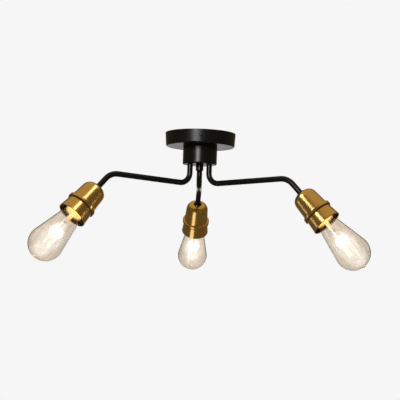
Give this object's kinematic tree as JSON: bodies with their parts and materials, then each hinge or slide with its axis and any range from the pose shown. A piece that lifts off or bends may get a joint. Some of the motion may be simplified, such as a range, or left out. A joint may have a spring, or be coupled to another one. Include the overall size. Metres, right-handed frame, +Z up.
{
  "type": "semi flush ceiling light",
  "caption": "Black semi flush ceiling light with a round canopy, bent arms and angled brass cup lampholders carrying clear filament bulbs.",
  "frame": {"origin": "centre of the canopy on the ceiling plane, midway between the bracket's two slots", "axes": "+Z up to the ceiling, -Y towards the viewer in front, with one arm pointing to the back along +Y"},
  "size_m": [0.5414, 0.4851, 0.2307],
  "materials": {
    "black_satin": "satin black powder coat",
    "zinc_steel": "zinc plated steel",
    "aged_brass": "antique brass, lacquered, fine spinning lines",
    "contact_brass": "bright brass sheet",
    "cap_brass": "brass sheet cap",
    "contact_solder": "tinned contact",
    "black_moulding": "black phenolic moulding",
    "white_plastic": "natural nylon",
    "green_sleeve": "green and yellow insulation",
    "brown_sleeve": "brown insulation",
    "blue_sleeve": "blue insulation",
    "clear_glass": "clear blown glass",
    "insulator_glass": "black vitreous insulator",
    "glowing_filament": "tungsten wire, lit",
    "support_wire": "molybdenum wire"
  },
  "bodies": {
    "fixture": {"canopy": "black_satin", "ceiling_bracket": "zinc_steel", "canopy_side_screws": "black_satin", "hub_cup": "black_satin", "hub_nipple": "zinc_steel", "hub_nuts": "zinc_steel", "centre_cap_nut": "black_satin", "wire_bushings": "white_plastic", "arm_nuts": "zinc_steel", "terminal_block": "white_plastic", "terminal_screws": "zinc_steel", "block_screws": "zinc_steel", "earth_stud": "zinc_steel", "earth_wire": "green_sleeve", "live_wires": "brown_sleeve", "neutral_wires": "blue_sleeve", "cup_collars": "black_satin", "cup_nuts": "zinc_steel", "holder_rings": "black_moulding", "centre_contacts": "contact_brass", "holder_terminals": "contact_brass", "arm_left": "black_satin", "cup_dome_left": "aged_brass", "cup_skirt_left": "aged_brass", "holder_cap_left": "black_moulding", "holder_body_left": "black_moulding", "screw_shell_left": "contact_brass", "arm_right": "black_satin", "cup_dome_right": "aged_brass", "cup_skirt_right": "aged_brass", "holder_cap_right": "black_moulding", "holder_body_right": "black_moulding", "screw_shell_right": "contact_brass", "arm_back": "black_satin", "cup_dome_back": "aged_brass", "cup_skirt_back": "aged_brass", "holder_cap_back": "black_moulding", "holder_body_back": "black_moulding", "screw_shell_back": "contact_brass"},
    "bulb_left_contact": {"bulb_contact_left": "contact_solder"},
    "bulb_left": {"bulb_glass_left": "clear_glass", "bulb_cap_left": "cap_brass", "bulb_insulator_left": "insulator_glass", "bulb_stem_left": "clear_glass", "bulb_filament_left": "glowing_filament", "bulb_wires_left": "support_wire"},
    "bulb_right_contact": {"bulb_contact_right": "contact_solder"},
    "bulb_right": {"bulb_glass_right": "clear_glass", "bulb_cap_right": "cap_brass", "bulb_insulator_right": "insulator_glass", "bulb_stem_right": "clear_glass", "bulb_filament_right": "glowing_filament", "bulb_wires_right": "support_wire"},
    "bulb_back_contact": {"bulb_contact_back": "contact_solder"},
    "bulb_back": {"bulb_glass_back": "clear_glass", "bulb_cap_back": "cap_brass", "bulb_insulator_back": "insulator_glass", "bulb_stem_back": "clear_glass", "bulb_filament_back": "glowing_filament", "bulb_wires_back": "support_wire"}
  },
  "joints": [
    {"name": "bulb_left_travel", "type": "slide", "parent": "fixture", "child": "bulb_left_contact", "axis": [-0.5587, -0.3912, -0.7314], "range_m": [0, 0.0436]},
    {"name": "bulb_left_turn", "type": "hinge", "parent": "bulb_left_contact", "child": "bulb_left", "pos_m": [-0.16461, -0.09744, -0.10711], "axis": [-0.5587, -0.3912, -0.7314], "range_deg": [0, 4320]},
    {"name": "bulb_right_travel", "type": "slide", "parent": "fixture", "child": "bulb_right_contact", "axis": [0.6181, -0.2882, -0.7314], "range_m": [0, 0.0436]},
    {"name": "bulb_right_turn", "type": "hinge", "parent": "bulb_right_contact", "child": "bulb_right", "pos_m": [0.16669, -0.09384, -0.10711], "axis": [0.6181, -0.2882, -0.7314], "range_deg": [0, 4320]},
    {"name": "bulb_back_travel", "type": "slide", "parent": "fixture", "child": "bulb_back_contact", "axis": [-0.0594, 0.6794, -0.7314], "range_m": [0, 0.0436]},
    {"name": "bulb_back_turn", "type": "hinge", "parent": "bulb_back_contact", "child": "bulb_back", "pos_m": [-0.00208, 0.19128, -0.10711], "axis": [-0.0594, 0.6794, -0.7314], "range_deg": [0, 4320]}
  ],
  "couplings": [
    {"joint": "bulb_left_travel", "follows": "bulb_left_turn", "m_per_rad": 0.00057757},
    {"joint": "bulb_right_travel", "follows": "bulb_right_turn", "m_per_rad": 0.00057757},
    {"joint": "bulb_back_travel", "follows": "bulb_back_turn", "m_per_rad": 0.00057757}
  ]
}
